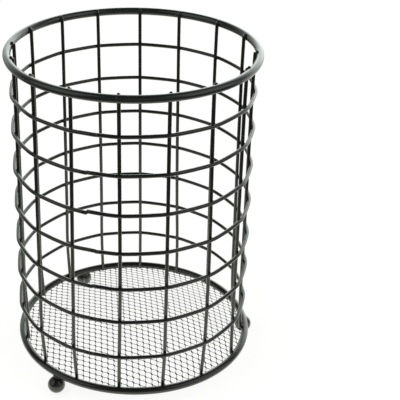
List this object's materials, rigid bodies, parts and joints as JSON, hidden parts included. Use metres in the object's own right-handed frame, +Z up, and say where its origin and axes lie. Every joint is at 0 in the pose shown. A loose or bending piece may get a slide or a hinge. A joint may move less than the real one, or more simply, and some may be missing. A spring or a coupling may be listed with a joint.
{
  "type": "cutlery basket",
  "caption": "Round open wire basket with a mesh floor on ball feet, holding cutlery or kitchen tools upright.",
  "frame": {"origin": "on the table, under the middle of the basket's box", "axes": "+Z up along the wall, +X towards the foot on the right, -Y towards the viewer"},
  "size_m": [0.13, 0.1248, 0.1715],
  "materials": {
    "ring_wire": "satin black coat",
    "grid_wire": "satin black coat",
    "mesh_steel": "satin black coat",
    "ball_steel": "satin black coat"
  },
  "bodies": {
    "root": {"top_rim": "ring_wire", "base_ring": "ring_wire", "hoop_1": "grid_wire", "hoop_2": "grid_wire", "hoop_3": "grid_wire", "hoop_4": "grid_wire", "hoop_5": "grid_wire", "hoop_6": "grid_wire", "hoop_7": "grid_wire", "upright_01": "grid_wire", "upright_02": "grid_wire", "upright_03": "grid_wire", "upright_04": "grid_wire", "upright_05": "grid_wire", "upright_06": "grid_wire", "upright_07": "grid_wire", "upright_08": "grid_wire", "upright_09": "grid_wire", "upright_10": "grid_wire", "upright_11": "grid_wire", "upright_12": "grid_wire", "upright_13": "grid_wire", "upright_14": "grid_wire", "upright_15": "grid_wire", "upright_16": "grid_wire", "base_mesh": "mesh_steel", "foot_right": "ball_steel", "foot_back_left": "ball_steel", "foot_front_left": "ball_steel"}
  },
  "joints": []
}
